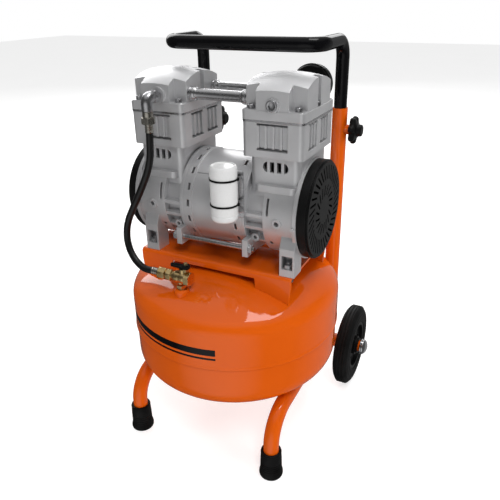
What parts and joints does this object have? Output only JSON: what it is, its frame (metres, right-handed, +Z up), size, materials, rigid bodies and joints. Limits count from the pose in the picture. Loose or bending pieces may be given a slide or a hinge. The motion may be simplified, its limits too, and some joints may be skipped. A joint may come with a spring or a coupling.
{
  "type": "air compressor",
  "caption": "Oil-free electric air compressor with cylinders at both ends of its motor, on a round flat tank with front legs, rear wheels and a telescopic push handle.",
  "frame": {"origin": "on the floor, in the middle of the footprint", "axes": "+X to the right seen from the front, -Y to the front where the legs and the hose are, +Z up"},
  "size_m": [0.4038, 0.4088, 0.6542],
  "materials": {
    "orange_paint": "gloss powder coat",
    "black_paint": "gloss enamel",
    "rubber_foot": "matte",
    "tyre_rubber": "matte",
    "hose_rubber": "smooth",
    "black_plastic": "fine texture",
    "cast_aluminium": "die cast, bead blasted",
    "bright_steel": "machined, zinc plated",
    "tube_aluminium": "drawn",
    "chrome": "polished",
    "brass": "machined",
    "plated_fittings": "plated",
    "white_plastic": "smooth",
    "copper": "enamelled wire"
  },
  "bodies": {
    "frame": {"tank_top_shell": "orange_paint", "tank_bottom_shell": "orange_paint", "tank_inlet_bung": "orange_paint", "tank_drain_plug": "brass", "motor_platform": "orange_paint", "leg_tube_left": "orange_paint", "leg_tube_right": "orange_paint", "foot_cap_left": "rubber_foot", "foot_cap_right": "rubber_foot", "upright_left": "orange_paint", "upright_right": "orange_paint", "clamp_bushes": "orange_paint", "axle_brackets": "orange_paint", "axle": "orange_paint", "axle_cap_left": "chrome", "axle_cap_right": "chrome", "motor_shell": "cast_aluminium", "stator": "copper", "shaft_bearings": "bright_steel", "fan_cover_left": "black_plastic", "fan_cover_right": "black_plastic", "crankcase_left": "cast_aluminium", "crankcase_right": "cast_aluminium", "cylinder_block_left": "cast_aluminium", "cylinder_block_right": "cast_aluminium", "cylinder_liner_left": "bright_steel", "cylinder_liner_right": "bright_steel", "valve_plate_left": "bright_steel", "valve_plate_right": "bright_steel", "head_left": "cast_aluminium", "head_right": "cast_aluminium", "head_bolts": "bright_steel", "transfer_tube_front": "tube_aluminium", "transfer_tube_rear": "tube_aluminium", "tie_rods": "bright_steel", "mounting_bolts": "bright_steel", "capacitor": "white_plastic", "capacitor_bracket": "bright_steel", "air_filter": "black_plastic", "head_plug": "bright_steel", "outlet_elbow": "bright_steel", "hose": "hose_rubber", "hose_fittings": "plated_fittings", "valve_body": "brass"},
    "handle": {"handle": "black_paint"},
    "knob_left": {"clamp_knob_left": "black_plastic"},
    "knob_right": {"clamp_knob_right": "black_plastic"},
    "wheel_left": {"tyre_left": "tyre_rubber", "wheel_hub_left": "black_plastic"},
    "wheel_right": {"tyre_right": "tyre_rubber", "wheel_hub_right": "black_plastic"},
    "rotating_group": {"rotor": "bright_steel", "motor_shaft": "bright_steel", "crank_left": "bright_steel", "crank_right": "bright_steel", "fan_left": "black_plastic", "fan_right": "black_plastic"},
    "piston_group_left": {"piston_left": "bright_steel"},
    "piston_group_right": {"piston_right": "bright_steel"},
    "valve_lever": {"valve_lever": "black_plastic"}
  },
  "joints": [
    {"name": "handle_slide", "type": "slide", "parent": "frame", "child": "handle", "axis": [0, 0, 1], "range_m": [0, 0.3]},
    {"name": "knob_left_turn", "type": "hinge", "parent": "frame", "child": "knob_left", "pos_m": [-0.127, 0.1104, 0.504], "axis": [1, 0, 0], "continuous": true},
    {"name": "knob_right_turn", "type": "hinge", "parent": "frame", "child": "knob_right", "pos_m": [0.127, 0.1104, 0.504], "axis": [1, 0, 0], "continuous": true},
    {"name": "wheel_left_spin", "type": "hinge", "parent": "frame", "child": "wheel_left", "pos_m": [-0.168, 0.1274, 0.077], "axis": [1, 0, 0], "continuous": true},
    {"name": "wheel_right_spin", "type": "hinge", "parent": "frame", "child": "wheel_right", "pos_m": [0.168, 0.1274, 0.077], "axis": [1, 0, 0], "continuous": true},
    {"name": "shaft_spin", "type": "hinge", "parent": "frame", "child": "rotating_group", "pos_m": [0, -0.0286, 0.4139], "axis": [1, 0, 0], "continuous": true},
    {"name": "piston_left_stroke", "type": "slide", "parent": "frame", "child": "piston_group_left", "axis": [0, 0, 1], "range_m": [-0.006, 0.006]},
    {"name": "piston_right_stroke", "type": "slide", "parent": "frame", "child": "piston_group_right", "axis": [0, 0, 1], "range_m": [-0.006, 0.006]},
    {"name": "valve_lever_turn", "type": "hinge", "parent": "frame", "child": "valve_lever", "pos_m": [-0.018, -0.1536, 0.339], "axis": [0, 0, 1], "range_deg": [0, 90]}
  ],
  "couplings": [
    {"joint": "piston_right_stroke", "follows": "piston_left_stroke", "ratio": -1}
  ]
}
